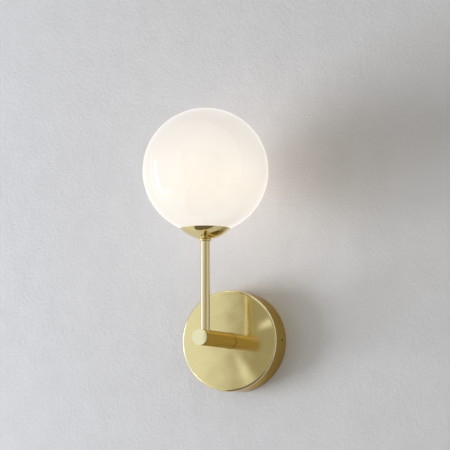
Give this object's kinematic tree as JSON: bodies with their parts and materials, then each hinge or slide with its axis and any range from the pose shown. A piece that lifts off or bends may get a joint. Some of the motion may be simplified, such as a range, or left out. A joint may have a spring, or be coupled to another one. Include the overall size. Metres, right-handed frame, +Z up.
{
  "type": "globe wall sconce",
  "caption": "Wall light: round brass canopy, short horizontal brass arm, thin upright stem and a lift-off opal glass globe seated in a polished cup.",
  "frame": {"origin": "centre of the canopy's open back, on the wall plane, in line with the arm's axis", "axes": "+Z up along the stem, +Y into the wall, so the arm runs out along -Y, and +X to the right as seen from the room"},
  "size_m": [0.15, 0.1825, 0.3361],
  "materials": {
    "satin_brass": "pale brass, brushed satin and lacquered",
    "polished_brass": "pale brass, mirror polished and lacquered",
    "raw_brass": "brass, plain turned",
    "zinc_steel": "zinc plated",
    "spring_steel": "drawn wire",
    "contact_metal": "tin plated",
    "opal_glass": "glossy cased opal, lit from inside",
    "frosted_diffuser": "frosted, translucent",
    "light_chips": "light-emitting chips on a white board",
    "white_ceramic": "unglazed white",
    "white_plastic": "moulded",
    "silicone": "soft white silicone",
    "brown_insulation": "extruded insulation",
    "blue_insulation": "extruded insulation",
    "earth_insulation": "extruded insulation, green with a yellow stripe"
  },
  "bodies": {
    "root": {"wall_bracket": "zinc_steel", "canopy": "satin_brass", "side_screws": "zinc_steel", "arm_tube": "satin_brass", "arm_end_cap": "satin_brass", "arm_rear_plug": "raw_brass", "arm_nipple": "zinc_steel", "arm_lock_washer": "zinc_steel", "arm_lock_nut": "zinc_steel", "nipple_bush": "white_plastic", "stem_socket": "raw_brass", "stem_tube": "satin_brass", "stem_collar": "polished_brass", "stem_nipple": "zinc_steel", "shade_cup": "polished_brass", "shade_gallery": "raw_brass", "globe_spring": "spring_steel", "globe_seal": "silicone", "lampholder_bracket": "zinc_steel", "cup_lock_washer": "zinc_steel", "cup_lock_nut": "zinc_steel", "lampholder_body": "white_ceramic", "lampholder_screws": "zinc_steel", "lampholder_contacts": "contact_metal", "terminal_block": "white_plastic", "terminal_tubes": "raw_brass", "terminal_screws": "zinc_steel", "block_screw": "zinc_steel", "earth_tag": "contact_metal", "earth_ring": "contact_metal", "earth_screw": "raw_brass", "live_wire": "brown_insulation", "neutral_wire": "blue_insulation", "earth_wire": "earth_insulation"},
    "globe": {"glass_globe": "opal_glass"},
    "lamp": {"lamp_base": "white_plastic", "lamp_pins": "contact_metal", "lamp_diffuser": "frosted_diffuser", "lamp_core": "light_chips"}
  },
  "joints": [
    {"name": "globe_lift", "type": "slide", "parent": "root", "child": "globe", "axis": [0, 0, 1], "range_m": [0, 0.08]},
    {"name": "lamp_pull", "type": "slide", "parent": "root", "child": "lamp", "axis": [0, 0, 1], "range_m": [0, 0.02]}
  ]
}
